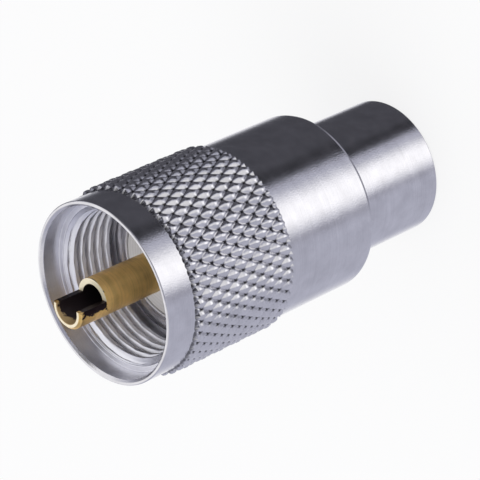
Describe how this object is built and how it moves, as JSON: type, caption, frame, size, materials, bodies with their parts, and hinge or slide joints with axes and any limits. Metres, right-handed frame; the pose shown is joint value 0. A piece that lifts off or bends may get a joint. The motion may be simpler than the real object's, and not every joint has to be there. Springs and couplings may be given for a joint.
{
  "type": "uhf connector",
  "caption": "UHF coaxial cable plug: gold-plated hollow pin inside a nickel-plated threaded coupling nut with a diamond knurled band, smooth collar and rear cable sleeve.",
  "frame": {"origin": "centre of the flat cable end of the body, on which the plug stands", "axes": "+Z along the axis, from the cable end to the tip of the centre contact; the open side of the contact's tip faces -Y"},
  "size_m": [0.0194, 0.0194, 0.0441],
  "materials": {
    "nickel_plate": "nickel plated over brass, fine turned satin",
    "white_insulator": "turned white PTFE",
    "gold_plate": "gold plated, satin",
    "spring_bronze": "bare spring bronze"
  },
  "bodies": {
    "plug": {"plug_body": "nickel_plate", "insulator": "white_insulator", "centre_contact": "gold_plate"},
    "ring": {"retaining_ring": "spring_bronze"},
    "nut": {"coupling_nut": "nickel_plate"}
  },
  "joints": [
    {"name": "nut_slide", "type": "slide", "parent": "plug", "child": "ring", "axis": [0, 0, 1], "range_m": [0, 0.003]},
    {"name": "nut_spin", "type": "hinge", "parent": "ring", "child": "nut", "pos_m": [0, 0, 0.025], "axis": [0, 0, 1], "continuous": true}
  ]
}
